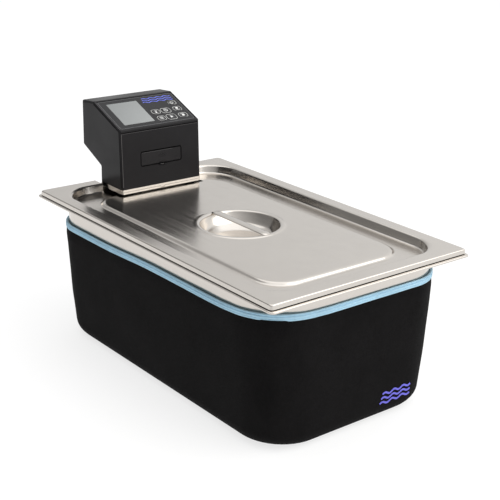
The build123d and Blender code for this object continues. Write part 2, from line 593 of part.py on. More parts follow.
stem = post(STEM[0], STEM[1], 112, 214, 2.5)
stem += post(STEM[0], STEM[1], 137, 139, 4.5) + post(STEM[0], STEM[1], 174, 176, 4.5)
stem += extrude(Pos(STEM[0], STEM[1], 209.5) * RegularPolygon(5, 6), 3)
save("float_stem", stem, HEAD_X)

bob = post(STEM[0], STEM[1], 139.4, 159.4, 9.5)
bob = fillet(bob.edges(), 2.5)
bob -= post(STEM[0], STEM[1], 130, 170, 2.9)
save("float_ring", bob, HEAD_X)
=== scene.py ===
import json
import math

import bmesh
import bpy
from mathutils import Matrix, Vector, noise


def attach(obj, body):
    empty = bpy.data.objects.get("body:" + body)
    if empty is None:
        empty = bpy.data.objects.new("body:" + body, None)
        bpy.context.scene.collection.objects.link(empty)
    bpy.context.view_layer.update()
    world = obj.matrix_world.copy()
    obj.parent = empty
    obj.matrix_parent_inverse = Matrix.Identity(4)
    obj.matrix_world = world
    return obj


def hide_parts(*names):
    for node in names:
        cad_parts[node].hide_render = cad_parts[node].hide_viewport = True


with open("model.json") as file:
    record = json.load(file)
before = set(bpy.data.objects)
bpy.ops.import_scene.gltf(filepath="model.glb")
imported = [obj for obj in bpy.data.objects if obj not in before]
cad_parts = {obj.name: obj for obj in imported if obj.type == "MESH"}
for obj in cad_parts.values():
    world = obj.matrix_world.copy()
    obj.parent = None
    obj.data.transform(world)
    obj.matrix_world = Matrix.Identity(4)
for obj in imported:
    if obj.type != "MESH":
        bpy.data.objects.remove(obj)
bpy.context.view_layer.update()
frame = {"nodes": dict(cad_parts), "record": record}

# Every length below is in the CAD's drawing unit; U turns it into metres.
GRID = 0.978      # millimetres in a drawing unit
U = 0.000978
HEAD_X = 4.0      # the head stands this far off the middle of the pan
HEAD_HALF = 70.5  # half of the head's width
SHEET = 1.2       # steel of the pan and the lid


# ------------------------------------------------------------------ materials
class Nodes:
    """A node tree with short ways to add and link what every material here needs."""

    def __init__(self, name):
        self.mat = bpy.data.materials.new(name)
        self.mat.use_nodes = True
        self.tree = self.mat.node_tree
        self.shader = self.tree.nodes["Principled BSDF"]
        self.coords = self.tree.nodes.new("ShaderNodeTexCoord").outputs["Object"]

    def add(self, kind, **values):
        node = self.tree.nodes.new(kind)
        for key, value in values.items():
            setattr(node, key, value)
        return node

    def link(self, a, b):
        self.tree.links.new(a, b)

    def mapped(self, stretch=(1, 1, 1), turn=(0, 0, 0)):
        node = self.add("ShaderNodeMapping")
        node.inputs["Scale"].default_value = stretch
        node.inputs["Rotation"].default_value = turn
        self.link(self.coords, node.inputs["Vector"])
        return node.outputs["Vector"]

    def noise(self, scale, detail=3.0, rough=0.5, stretch=(1, 1, 1)):
        node = self.add("ShaderNodeTexNoise")
        node.inputs["Scale"].default_value = scale
        node.inputs["Detail"].default_value = detail
        node.inputs["Roughness"].default_value = rough
        self.link(self.mapped(stretch), node.inputs["Vector"])
        return node.outputs["Fac"]

    def wave(self, scale, direction, turn=(0, 0, 0), distortion=0.0):
        node = self.add("ShaderNodeTexWave", bands_direction=direction)
        node.inputs["Scale"].default_value = scale
        node.inputs["Distortion"].default_value = distortion
        self.link(self.mapped((1, 1, 1), turn), node.inputs["Vector"])
        return node.outputs["Fac"]

    def math(self, operation, a, b):
        node = self.add("ShaderNodeMath", operation=operation)
        for socket, value in zip(node.inputs, (a, b)):
            if isinstance(value, (int, float)):
                socket.default_value = value
            else:
                self.link(value, socket)
        return node.outputs[0]

    def spread(self, value, low, high, out_low, out_high):
        node = self.add("ShaderNodeMapRange")
        node.inputs["From Min"].default_value = low
        node.inputs["From Max"].default_value = high
        node.inputs["To Min"].default_value = out_low
        node.inputs["To Max"].default_value = out_high
        self.link(value, node.inputs["Value"])
        return node.outputs["Result"]

    def colour(self, fac, a, b):
        node = self.add("ShaderNodeMix", data_type="RGBA")
        self.link(fac, node.inputs["Factor"])
        for socket in node.inputs:
            if socket.type == "RGBA" and socket.name in "AB":
                socket.default_value = (*(a if socket.name == "A" else b), 1)
        mixed = next(o for o in node.outputs if o.type == "RGBA")
        self.link(mixed, self.shader.inputs["Base Color"])

    def bump(self, height, strength, distance):
        node = self.add("ShaderNodeBump")
        node.inputs["Strength"].default_value = strength
        node.inputs["Distance"].default_value = distance
        self.link(height, node.inputs["Height"])
        self.link(node.outputs["Normal"], self.shader.inputs["Normal"])


COAT_ROUGH = 0.12
SHEEN_ROUGH = 0.5


def shade(color, factor):
    return tuple(min(1.0, c * factor) for c in color)


def surface(name, color, rough, metal=0.0, kind="grain", scale=900.0, bump=0.15, depth=0.00005,
            vary=0.12, patch=14.0, spec=0.5, coat=0.0, sheen=0.0):
    """A procedural finish: patchy colour and roughness, and a fine relief that depends on kind."""
    n = Nodes(name)
    s = n.shader.inputs
    s["Metallic"].default_value = metal
    s["Specular IOR Level"].default_value = spec
    s["Coat Weight"].default_value = coat
    s["Coat Roughness"].default_value = COAT_ROUGH
    s["Sheen Weight"].default_value = sheen
    s["Sheen Roughness"].default_value = SHEEN_ROUGH
    patches = n.noise(patch, 4.0, 0.55)
    fine = n.noise(patch * 9, 2.0, 0.5)
    both = n.math("ADD", n.math("MULTIPLY", patches, 0.65), n.math("MULTIPLY", fine, 0.35))
    n.colour(n.spread(both, 0.35, 0.65, 0.0, 1.0), shade(color, 1 - vary), shade(color, 1 + vary))
    if kind == "brush":
        height = n.noise(scale, 3.0, 0.6, (1.0, 0.02, 1.0))
        wear = n.noise(scale * 0.35, 2.0, 0.5, (1.0, 0.03, 1.0))
    elif kind == "knit":
        a = n.wave(scale, "DIAGONAL", (0, 0, 0), 0.6)
        b = n.wave(scale, "DIAGONAL", (math.pi / 2, 0.4, 0.9), 0.6)
        height = n.math("MULTIPLY", a, b)
        wear = n.noise(scale * 1.5, 2.0)
    elif kind == "rib":
        height = n.wave(scale, "Z", (0, 0, 0), 0.4)
        wear = n.noise(scale * 2.0, 2.0)
    else:
        height = n.noise(scale, 2.0, 0.6)
        wear = n.noise(patch * 3, 3.0)
    n.link(n.spread(wear, 0.3, 0.7, rough * 0.85, min(1.0, rough * 1.18)), s["Roughness"])
    n.bump(height, bump, depth)
    return n.mat


# painted reflection on the display: the shaded tone at its upper left, the lit tone at its lower right
DISPLAY_SHADED = (0.185, 0.197, 0.197)
DISPLAY_LIT = (0.29, 0.303, 0.303)


def display_glass():
    """Blank reflective display under a clear window, with a painted reflection: darker towards its upper left
    corner, lighter towards its lower right, with a faint random cloud.
    """
    n = Nodes("display_glass")
    split = n.add("ShaderNodeSeparateXYZ")
    n.link(n.coords, split.inputs[0])
    across = n.spread(split.outputs["X"], -0.050, 0.004, 0.0, 0.5)
    down = n.spread(split.outputs["Z"], 0.324, 0.300, 0.0, 0.5)
    cloud = n.math("MULTIPLY", n.math("SUBTRACT", n.noise(40, 3.0), 0.5), 0.25)
    painted_shade_and_cloud = n.math("ADD", n.math("ADD", across, down), cloud)
    n.colour(painted_shade_and_cloud, DISPLAY_SHADED, DISPLAY_LIT)
    n.shader.inputs["Roughness"].default_value = 0.22
    n.shader.inputs["Specular IOR Level"].default_value = 0.35
    n.shader.inputs["Coat Weight"].default_value = 0.2
    n.shader.inputs["Coat Roughness"].default_value = 0.08
    n.bump(n.noise(1800, 2.0), 0.03, 0.00001)
    return n.mat


STEEL = (0.61, 0.575, 0.535)
NEOPRENE = (0.0052, 0.0048, 0.005)
TAPE_BLUE = (0.39, 0.62, 0.77)
HOUSING = (0.0105, 0.0098, 0.011)
FILM = (0.0085, 0.0085, 0.0098)
KNIT = 620        # scale of the foam's knit facing, in the foam and in its print
MATERIALS = {
    "steel_satin": surface("satin_steel", STEEL, 0.205, 1.0, "brush", 700, 0.012, 0.00001, 0.025, 5),
    "neoprene": surface("neoprene_knit", NEOPRENE, 0.8, 0, "knit", KNIT, 0.5, 0.00022, 0.25, 18, spec=0.07),
    "binding": surface("binding_tape", TAPE_BLUE, 0.62, 0, "rib", 900, 0.35, 0.00015, 0.10, 26,
                       spec=0.3, sheen=0.12),
    "housing_plastic": surface("black_housing", HOUSING, 0.34, 0, "grain", 2600, 0.2, 0.00004, 0.14, 9,
                               spec=0.16),
    "inlet_plastic": surface("inlet_black", (0.012, 0.012, 0.012), 0.45, 0, "grain", 2000, 0.2),
    "overlay_film": surface("panel_film", FILM, 0.30, 0, "grain", 3200, 0.15, 0.00003, 0.08, 20,
                            spec=0.2, coat=0.03),
    "display": display_glass(),
    "module_metal": surface("module_frame", (0.5, 0.5, 0.5), 0.35, 1, "brush"),
    "circuit_board": surface("solder_mask", (0.02, 0.13, 0.05), 0.35, 0, "grain", 700, 0.3, 0.0001, 0.25, 60),
    "switch_metal": surface("switch_tin", (0.6, 0.6, 0.6), 0.3, 1),
    "key_plastic": surface("keycap_black", (0.011, 0.011, 0.013), 0.34, 0, "grain", 2400, 0.15, 0.00003,
                           0.1, 60),
    "rocker_plastic": surface("rocker_black", (0.012, 0.012, 0.013), 0.22, 0, "grain", 1500, 0.08),
    "core_iron": surface("core_varnish", (0.09, 0.06, 0.04), 0.4, 0.3, "rib", 1500, 0.6, 0.0002),
    "aluminium": surface("fin_aluminium", (0.7, 0.7, 0.72), 0.34, 1, "brush", 500, 0.2),
    "zinc_steel": surface("zinc_plate", (0.56, 0.55, 0.5), 0.36, 1, "grain", 300, 0.15, 0.00005, 0.12, 50),
    "bearing_steel": surface("bright_steel", (0.66, 0.65, 0.63), 0.2, 1, "grain", 600, 0.08, 0.00003,
                             0.06, 40),
    "fan_plastic": surface("fan_nylon", (0.03, 0.03, 0.03), 0.5, 0, "grain", 1200, 0.2),
    "gasket_rubber": surface("seal_rubber", (0.008, 0.008, 0.008), 0.7, 0, "grain", 1200, 0.3, spec=0.3),
    "pad_rubber": surface("pad_rubber", (0.02, 0.02, 0.02), 0.75, 0, "rib", 700, 0.7, 0.0004),
    "heater_steel": surface("heater_sheath", (0.60, 0.55, 0.48), 0.24, 1, "grain", 250, 0.15, 0.00005,
                            0.16, 30),
    "pump_plastic": surface("pump_nylon", (0.05, 0.05, 0.055), 0.45, 0, "grain", 1500, 0.25),
    "impeller_plastic": surface("impeller_acetal", (0.72, 0.71, 0.66), 0.35, 0, "grain", 900, 0.1),
    "float_plastic": surface("float_foam", (0.75, 0.75, 0.72), 0.6, 0, "grain", 1500, 0.4, 0.0001),
}


def ink(name, color, rough, vary, patch):
    """A thin print on the panel film."""
    return surface(name, color, rough, 0, "grain", 2500, 0.1, 0.00002, vary, patch)


WHITE_INK = ink("white_ink", (0.50, 0.50, 0.49), 0.5, 0.06, 60)
BLUE_INK = ink("blue_ink", (0.10, 0.13, 0.62), 0.42, 0.10, 50)
FRAME_INK = ink("grey_ink", (0.10, 0.10, 0.105), 0.4, 0.06, 60)
SIGN_INK = ink("sign_ink", (0.78, 0.78, 0.77), 0.45, 0.05, 60)
JACKET_INK = surface("jacket_print", (0.15, 0.14, 0.66), 0.6, 0, "knit", KNIT, 0.3, 0.0001, 0.10, 50,
                     spec=0.3)
# the dark of the parting gaps, also used for painted shadow and painted shade on the flap
GAP_AND_SHADOW = surface("shadow_gap", (0.0022, 0.0021, 0.0023), 0.7, 0, "grain", 1800, 0.1, 0.00002, 0.1, 40,
               spec=0.05)
# painted highlight for lit edges and glints
EDGE_HIGHLIGHT = surface("painted_edge_highlight", (0.075, 0.072, 0.074), 0.3, 0, "grain", 1800, 0.2, 0.00003, 0.2, 40)
# painted shade for the tray's hem and the shadow under its badge
TRAY_SHADE = surface("hem_shadow", (0.16, 0.14, 0.11), 0.5, 0.6, "grain", 1800, 0.1, 0.00002, 0.15, 40)
FLAP = surface("flap_black", (0.0135, 0.0126, 0.0138), 0.4, 0, "grain", 2200, 0.25, 0.00005, 0.16, 30,
               spec=0.18)
THREAD = surface("blue_thread", (0.33, 0.60, 0.78), 0.6, 0, "rib", 2500, 0.5, 0.0001, 0.1, 60, spec=0.3)

slot_of = {part["node"]: part["material_slot"] for part in frame["record"]["subparts"]}
for node, obj in frame["nodes"].items():
    obj.data.materials.clear()
    obj.data.materials.append(MATERIALS[slot_of[node]])
frame["nodes"]["front_flap"].data.materials[0] = FLAP


# ------------------------------------------------------------------ mesh helpers
def new_mesh(name, verts, faces):
    mesh = bpy.data.meshes.new(name)
    mesh.from_pydata([tuple(U * c for c in v) for v in verts], [], faces)
    return mesh


def face_outwards(mesh):
    bm = bmesh.new()
    bm.from_mesh(mesh)
    bmesh.ops.recalc_face_normals(bm, faces=bm.faces)
    bm.to_mesh(mesh)
    bm.free()


def new_object(name, data):
    obj = bpy.data.objects.new(name, data)
    bpy.context.scene.collection.objects.link(obj)
    return obj


def finish_piece(name, mesh, material, body, soft_angle=35.0):
    """Puts a mesh in the scene as a shown piece that rides a body."""
    face_outwards(mesh)
    mesh.materials.clear()
    mesh.materials.append(material)
    mesh.shade_smooth()
    mesh.set_sharp_from_angle(angle=math.radians(soft_angle))
    obj = new_object(name, mesh)
    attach(obj, body)
    return obj


def make(name, verts, faces, material, body, slot, soft_angle=35.0):
    return finish_piece(name, new_mesh(name, verts, faces), material, body, soft_angle)


ARC = 12     # steps round a corner
LONG = 40    # steps along a long side
SHORT = 26   # steps along a short side
CORNERS = ((1, 1, 0), (-1, 1, 90), (-1, -1, 180), (1, -1, 270))   # side of x, side of y, first angle


def loop(dims):
    """Points round a rounded rectangle; every loop has the same count, so loops join into quads."""
    hx, hy, r, z = dims
    side_end = {0: (-(hx - r), hy), 90: (-hx, -(hy - r)), 180: (hx - r, -hy), 270: (hx, hy - r)}
    out = []
    for sx, sy, start in CORNERS:
        for k in range(ARC + 1):
            a = math.radians(start + 90 * k / ARC)
            out.append((sx * (hx - r) + r * math.cos(a), sy * (hy - r) + r * math.sin(a), z))
        along = SHORT if start in (0, 180) else LONG
        x0, y0, _ = out[-1]
        x1, y1 = side_end[start]
        for k in range(1, along):
            t = k / along
            out.append((x0 + (x1 - x0) * t, y0 + (y1 - y0) * t, z))
    return out


def mix(a, b, t):
    return tuple(p + (q - p) * t for p, q in zip(a, b))


def reach(a, b):
    """How far apart two sections are, in width and height."""
    return math.hypot(b[0] - a[0], b[3] - a[3])


HOLD = 0.5         # a holding loop stands this far outside its bend
HOLD_MOST = 0.97   # and never past this share of the way to the next section


def sections(points, steps=7):
    """Points are (hx, hy, r, z, bend); each bend becomes an arc with a holding loop at either side."""
    out = [points[0][:4]]
    for before, here, after in zip(points, points[1:], points[2:]):
        p = here[:4]
        bend = here[4]
        if not bend:
            out.append(p)
            continue
        la = reach(p, before)
        lb = reach(p, after)
        p0 = mix(p, before[:4], bend / la)
        p2 = mix(p, after[:4], bend / lb)
        ux = ((before[0] - p[0]) / la, (before[3] - p[3]) / la)
        vx = ((after[0] - p[0]) / lb, (after[3] - p[3]) / lb)
        cosine = max(-1.0, min(1.0, ux[0] * vx[0] + ux[1] * vx[1]))
        w = math.sin(math.acos(cosine) / 2)
        out.append(mix(p, before[:4], min(HOLD_MOST, (bend + HOLD) / la)))
        for k in range(steps + 1):
            t = k / steps
            a, b, c = (1 - t) ** 2, 2 * t * (1 - t) * w, t * t
            out.append(tuple((a * u + b * v + c * q) / (a + b + c) for u, v, q in zip(p0, p, p2)))
        out.append(mix(p, after[:4], min(HOLD_MOST, (bend + HOLD) / lb)))
    out.append(points[-1][:4])
    return out


def grow(dims, d):
    """A rounded rectangle's half sizes and radius, offset outwards by d."""
    return (dims[0] + d, dims[1] + d, max(0.3, dims[2] + d))


def join_rings(rings, close_end=False, wrap=False):
    """Quads between one ring and the next; the last may be closed to a centre or joined to the first."""
    n = len(rings[0])
    verts = [p for ring in rings for p in ring]
    faces = []
    pairs = [(i, i + 1) for i in range(len(rings) - 1)]
    if wrap:
        pairs.append((len(rings) - 1, 0))
    for i, j in pairs:
        for k in range(n):
            m = (k + 1) % n
            faces.append((i * n + k, i * n + m, j * n + m, j * n + k))
    if close_end:
        last = (len(rings) - 1) * n
        centre = len(verts)
        verts.append((0.0, 0.0, rings[-1][0][2]))
        for k in range(n):
            faces.append((last + k, last + (k + 1) % n, centre))
    return verts, faces


def applied(obj):
    """Takes the object away and gives back its mesh with its modifiers in it."""
    graph = bpy.context.evaluated_depsgraph_get()
    mesh = bpy.data.meshes.new_from_object(obj.evaluated_get(graph))
    bpy.data.objects.remove(obj)
    return mesh


def raw(name, verts, faces):
    """An object to be worked on further, which is not shown itself."""
    mesh = new_mesh(name, verts, faces)
    face_outwards(mesh)
    return new_object(name, mesh)


def thicken(obj):
    """Gives a surface the sheet's thickness, underneath the side that faces up."""
    top = max(obj.data.polygons, key=lambda f: f.center.z + abs(f.normal.z) * 0.01)
    if top.normal.z < 0:
        obj.data.flip_normals()
    sheet = obj.modifiers.new("sheet", "SOLIDIFY")
    sheet.thickness = SHEET * U
    sheet.use_even_offset = True
    sheet.offset = -1.0


def box_data(x0, x1, y0, y1, z0, z1):
    verts = [(x, y, z) for x in (x0, x1) for y in (y0, y1) for z in (z0, z1)]
    faces = [(0, 1, 3, 2), (4, 6, 7, 5), (0, 4, 5, 1), (2, 3, 7, 6), (0, 2, 6, 4), (1, 5, 7, 3)]
    return verts, faces


def merged(parts):
    verts, faces = [], []
    for v, f in parts:
        base = len(verts)
        verts += v
        faces += [tuple(base + i for i in face) for face in f]
    return verts, faces


# ------------------------------------------------------------------ water pan
RIM = (162.5 / GRID, 265.0 / GRID, 7.0)   # half of 325 mm and of 530 mm
RIM_TOP = 208.0
RIM_SKIRT = 2.6   # the rim's turned-down edge
PAN_LOW = (139.5, 249.0, 70.5)
PAN_HIGH = (153.3, 250.9, 61.5)
PAN_FLOOR = 5.0
pan_path = [
    (*RIM, RIM_TOP - RIM_SKIRT, 0),
    (*RIM, RIM_TOP, 1.2),
    (*grow(PAN_HIGH, -SHEET), RIM_TOP, 3.2),
    (*grow(PAN_LOW, -SHEET), PAN_FLOOR + SHEET, 26.0),
    (60.0, 150.0, 30.0, PAN_FLOOR + SHEET, 0),
    (20.0, 60.0, 12.0, PAN_FLOOR + SHEET, 0),
]
pan_raw = raw("pan_raw", *join_rings([loop(s) for s in sections(pan_path, 9)], close_end=True))
thicken(pan_raw)
pan = finish_piece("water_pan", applied(pan_raw), MATERIALS["steel_satin"], "pan", 32)
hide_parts("pan")

# ------------------------------------------------------------------ lid
LID_TOP = 215.0
TROUGH_Z = 202.2
PANEL_Z = 206.0
LID_EDGE = (162.5, 265.5, 3.4)
LID_OUT = (163.5, 266.5, 4.4)
RECESS_HIGH = (143.0, 244.0, 47.0)
RECESS_LOW = (139.5, 240.5, 43.5)
PANEL_FOOT = (111.6, 210.6, 39.6)
PANEL_HEAD = (107.8, 206.8, 36.0)
PANEL_MIDDLE = (96.0, 150.0, 40.0)
LID_EDGE_Z = 208.9                 # the lid's turned-down edge ends here
REST_BEAD = (159.6, 262.6, 6.0)    # inner ridge the lid stands on
REST_BEAD_TOP = 214.2
NOTCH = (-71.5, 79.5, 193.6)       # two sides and the front of the circulator's notch
HEM_END = 239.0                    # the notch's turned-down hem ends here
lid_path = [
    (*LID_OUT, LID_EDGE_Z, 0),
    (*LID_EDGE, LID_TOP, 1.5),
    (*RECESS_HIGH, LID_TOP, 2.6),
    (*RECESS_LOW, TROUGH_Z, 2.6),
    (*PANEL_FOOT, TROUGH_Z, 1.6),
    (*PANEL_HEAD, PANEL_Z, 1.8),
    (*PANEL_MIDDLE, PANEL_Z, 0),
]
lid_rings = [loop(s) for s in sections(lid_path)]
guide = loop((*PANEL_MIDDLE, PANEL_Z))


def circle(r, z):
    """A round loop whose points lie in the same directions as the panel's."""
    out = []
    for x, y, _ in guide:
        d = math.hypot(x, y)
        out.append((x / d * r, y / d * r, z))
    return out


# the finger cup from its bead to its floor, as radius and height
cup_path = [(66.0, 206.0), (64.2, 206.02), (63.2, 206.35), (62.2, 206.85), (61.0, 207.1), (58.6, 207.1),
            (57.2, 206.95), (56.2, 206.4), (55.5, 205.5), (55.1, 204.3), (54.6, 202.6), (53.2, 199.6),
            (51.4, 195.6), (49.8, 192.4), (48.2, 190.3), (46.0, 189.0), (42.0, 187.2), (37.6, 185.5),
            (34.6, 184.5), (31.6, 184.1), (28.0, 184.0), (14.0, 184.0)]
lid_rings += [circle(r, z) for r, z in cup_path]
lid_raw = raw("lid_raw", *join_rings(lid_rings, close_end=True))
thicken(lid_raw)


def cut_notch(obj):
    """Takes the object away and gives back its mesh with the circulator's notch cut out."""
    cutter = raw("notch_cutter", *box_data(*NOTCH, 300, 180, 230))
    cut = obj.modifiers.new("notch", "BOOLEAN")
    cut.operation = "DIFFERENCE"
    cut.solver = "EXACT"
    cut.object = cutter
    mesh = applied(obj)
    bpy.data.objects.remove(cutter)
    return mesh


def hem_strip(points, z0, z1, w):
    """A turned-down strip with a rounded top, w thick, following points round the notch."""
    rings = []
    for i, (x, y) in enumerate(points):
        ax, ay = points[max(0, i - 1)]
        bx, by = points[min(len(points) - 1, i + 1)]
        d = math.hypot(bx - ax, by - ay)
        nx, ny = -(by - ay) / d, (bx - ax) / d
        if 0 < i < len(points) - 1:
            nx, ny = nx * math.sqrt(2), ny * math.sqrt(2)
        ring = []
        for off, z in ((0, z0), (0, z1 - 0.4), (0.35, z1), (w - 0.35, z1), (w, z1 - 0.4), (w, z0)):
            ring.append((x + nx * off, y + ny * off, z))
        rings.append(ring)
    verts, faces = join_rings(rings)
    n = len(rings[0])
    faces += [tuple(range(n)), tuple(range(len(verts) - n, len(verts)))]
    return verts, faces


left, right, front = NOTCH
hem = hem_strip([(left, HEM_END), (left, front), (right, front), (right, HEM_END)],
                TROUGH_Z - 3.2, TROUGH_Z - 0.2, -SHEET)
lip = hem_strip([(left, front), (right, front)], TROUGH_Z - 1, PANEL_Z - 0.2, -SHEET)
bead = [loop((*grow(REST_BEAD, out), z))
        for out, z in ((0, RIM_TOP), (0, REST_BEAD_TOP), (-SHEET, REST_BEAD_TOP), (-SHEET, RIM_TOP))]
ridge = raw("ridge_raw", *join_rings(bead, wrap=True))
lid_mesh = cut_notch(lid_raw)
bm = bmesh.new()
bm.from_mesh(lid_mesh)
bm.from_mesh(cut_notch(ridge))
bm.from_mesh(new_mesh("extra", *merged([hem, lip])))
bmesh.ops.remove_doubles(bm, verts=bm.verts, dist=1e-7)
bm.to_mesh(lid_mesh)
bm.free()
lid = finish_piece("lid_pressing", lid_mesh, MATERIALS["steel_satin"], "lid", 32)
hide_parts("lid_shell")

# the bar over the finger cup: a flat strip with softened edges, its ends drawn down onto the cup's bead
BAR_HALF = 60.5
BAR_WIDE = 6.6    # half of its width
BAR_END = 8.0     # length of a drawn-down end
BAR_TOP = 208.7
BAR_UNDER = 207.3
BAR_RINGS = 41
bar_rings = []
for k in range(BAR_RINGS):
    t = 2 * k / (BAR_RINGS - 1) - 1
    y = BAR_HALF * math.copysign(1 - (1 - abs(t)) ** 1.3, t)
    tip = max(0.0, (abs(y) - BAR_HALF + BAR_END) / BAR_END)
    half = BAR_WIDE * math.sqrt(1 - 0.72 * tip ** 3)
    upper = BAR_TOP - 1.25 * tip ** 2
    lower = min(BAR_UNDER, upper - 0.3)
    ring = []
    for side in (1, -1):
        corner = [(half, lower), (half, upper - 0.8), (half - 0.35, upper - 0.3), (half - 0.9, upper)]
        ring += [(side * x, y, z) for x, z in (corner if side > 0 else corner[::-1])]
    bar_rings.append(ring)
bar_verts, bar_faces = join_rings(bar_rings)
corners = len(bar_rings[0])
bar_faces += [tuple(range(corners)), tuple(range(len(bar_verts) - corners, len(bar_verts)))]
bar = make("cup_bar", bar_verts, bar_faces, MATERIALS["steel_satin"], "lid", "steel_satin", 40)
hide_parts("lid_handle")

# ------------------------------------------------------------------ foam jacket
JACKET_LOW = (141.5, 251.5, 62.0)
JACKET_HIGH = (157.9, 256.3, 66.5)
JACKET_TOP = 183.4
FOAM_TOP = 178.0      # the foam ends here, inside the tape
PAN_GAP = 0.4         # between the foam and the pan
SEAM_Z = 178.3        # height of the tape's stitches
TAPE_SOFT = 0.35      # how much of the foam's unevenness the tape follows
FLOOR_INNER = (20.0, 120.0, 15.0)
FLOOR_OUTER = (60.0, 170.0, 40.0)


def step(value, low, high):
    """Rises smoothly from 0 at low to 1 at high."""
    t = max(0.0, min(1.0, (value - low) / (high - low)))
    return t * t * (3 - 2 * t)


def at_height(z):
    """The foam's plan at a height: a straight wall, drawn in by the tape near the top."""
    dims = mix(JACKET_LOW, JACKET_HIGH, max(0.0, z) / JACKET_TOP)
    return grow(dims, -1.0 * step(z, 60.0, 160.0) - 2.3 * step(z, 162.0, 183.0))


def droop(p):
    """The foam's upper edge sags towards the circulator and rides up at one corner."""
    x, y, z = p
    sag = -1.5 - 4.0 * step(y, -20.0, 115.0) + 1.5 * step(-y, 140.0, 220.0)
    sag += 2.6 * (1 - step(math.hypot(x + 158, y + 256), 25.0, 105.0))
    return (x, y, z + sag * step(z, 110.0, 172.0))


def fold(x, y):
    """The foam's sewn corner at the front left stands out a little, as a soft vertical edge."""
    cx, cy = -88.0 - x, -192.0 - y
    if cx <= 0 or cy <= 0:
        return 0.0
    return 4.2 * max(0.0, 1 - abs(math.degrees(math.atan2(cy, cx)) - 45.0) / 30.0) ** 1.4


def soften(p, strength):
    """Moves a point of the foam outwards: broad unevenness, and small puckers under the edge tape."""
    x, y, z = p
    sx = max(0.0, abs(x) - 80.0) / 75.0
    sy = max(0.0, abs(y) - 180.0) / 75.0
    outward = Vector((math.copysign(sx, x), math.copysign(sy, y), 0))
    if outward.length < 1e-6:
        return droop(p)
    outward.normalize()
    q = Vector(p)
    broad = noise.noise(q * 0.012) * 0.9 + noise.noise(q * 0.035 + Vector((7, 3, 1))) * 0.45
    mid = math.sin(math.pi * max(0.0, min(1.0, (z - 25.0) / 150.0))) * 0.4
    near_tape = math.exp(-max(0.0, 176.0 - z) / 9.0)
    pucker = noise.noise(Vector((x * 0.09, y * 0.09, 2.0))) * 0.7 * near_tape
    return droop(q + outward * strength * (broad + mid + pucker + fold(x, y)))


def pan_at(z):
    """The pan's plan at a height."""
    return mix(PAN_LOW, PAN_HIGH, (z - PAN_FLOOR) / (RIM_TOP - PAN_FLOOR))


foot = sections([
    (*FLOOR_OUTER, 0.0, 0),
    (*JACKET_LOW, 0.0, 21.0),
    (*at_height(60.0), 60.0, 0),
], 10)[1:-1]
wall_heights = [44, 56, 68, 80, 92, 104, 116, 128, 140, 150, 158, 164, 168, 171.5, 174.5, 177.0]
walls = [(*at_height(z), z) for z in wall_heights]
top = [(*grow(at_height(177.0), -0.8), FOAM_TOP), (*grow(at_height(FOAM_TOP), -2.0), FOAM_TOP)]
rings = [loop((*FLOOR_INNER, 0.0)), loop((*FLOOR_OUTER, 0.0))]
rings += [[soften(p, min(1.0, max(0.0, (p[2] - 4.0) / 30.0))) for p in loop(s)] for s in foot]
rings += [[soften(p, 1.0) for p in loop(s)] for s in walls]
rings += [[droop(p) for p in loop(s)] for s in top]
inner = sections([
    (*grow(pan_at(FOAM_TOP), PAN_GAP), FOAM_TOP, 0),
    (*grow(PAN_LOW, PAN_GAP), PAN_FLOOR - PAN_GAP, 28.2),
    (*FLOOR_OUTER, PAN_FLOOR - PAN_GAP, 0),
], 9)
rings += [[droop(p) for p in loop(s)] for s in inner]
foam_verts, foam_faces = join_rings(rings, close_end=True)
centre = len(foam_verts)
foam_verts.append((0.0, 0.0, 0.0))
count = len(rings[0])
foam_faces += [(centre, (k + 1) % count, k) for k in range(count)]
jacket = make("foam_jacket", foam_verts, foam_faces, MATERIALS["neoprene"], "jacket", "neoprene", 50)
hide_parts("jacket_body")

# edge tape: folded over the foam's edge, with a stitched seam; its outer face as offset and height
TAPE = [(0.15, 175.7), (0.8, 175.9), (1.15, 176.5), (1.25, 177.3), (0.95, 178.0), (0.85, 178.3),
        (0.95, 178.6), (1.3, 179.2), (1.5, 180.0), (1.35, 180.9), (0.9, 181.4), (0.15, 181.75),
        (0.15, 181.85), (0.8, 182.2), (1.15, 182.8), (1.1, 183.5), (0.6, 184.1), (-0.1, 184.35),
        (-0.9, 184.3), (-1.6, 183.9)]
tape_rings = []
for off, z in TAPE:
    ring = loop((*grow(at_height(min(z, JACKET_TOP)), off), z))
    tape_rings.append([soften(p, TAPE_SOFT if off > 0 else 0.0) for p in ring])
for near, off, z in ((183.0, 0.65, 183.4), (183.0, 0.4, 182.6), (176.5, 0.4, 176.5), (176.5, 1.3, 176.5)):
    tape_rings.append([droop(p) for p in loop((*grow(pan_at(near), off), z))])
tape_verts, tape_faces = join_rings(tape_rings, wrap=True)
tape = make("edge_tape", tape_verts, tape_faces, MATERIALS["binding"], "jacket", "binding", 60)
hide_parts("jacket_binding")


def capsule(a, b, r):
    """A short rounded thread from a to b."""
    a, b = Vector(a), Vector(b)
    along = (b - a).normalized()
    side = along.orthogonal().normalized()
    up = along.cross(side)
    verts, faces = [], []
    profile = [(0.0, 0.35), (0.18, 0.8), (0.5, 1.0), (0.82, 0.8), (1.0, 0.35)]
    n = 6
    for t, k in profile:
        c = a.lerp(b, t)
        for i in range(n):
            ang = 2 * math.pi * i / n
            verts.append(tuple(c + (side * math.cos(ang) + up * math.sin(ang)) * r * k))
    for j in range(len(profile) - 1):
        for i in range(n):
            m = (i + 1) % n
            faces.append((j * n + i, j * n + m, (j + 1) * n + m, (j + 1) * n + i))
    faces += [tuple(range(n)), tuple(range(len(verts) - n, len(verts)))]
    return verts, faces


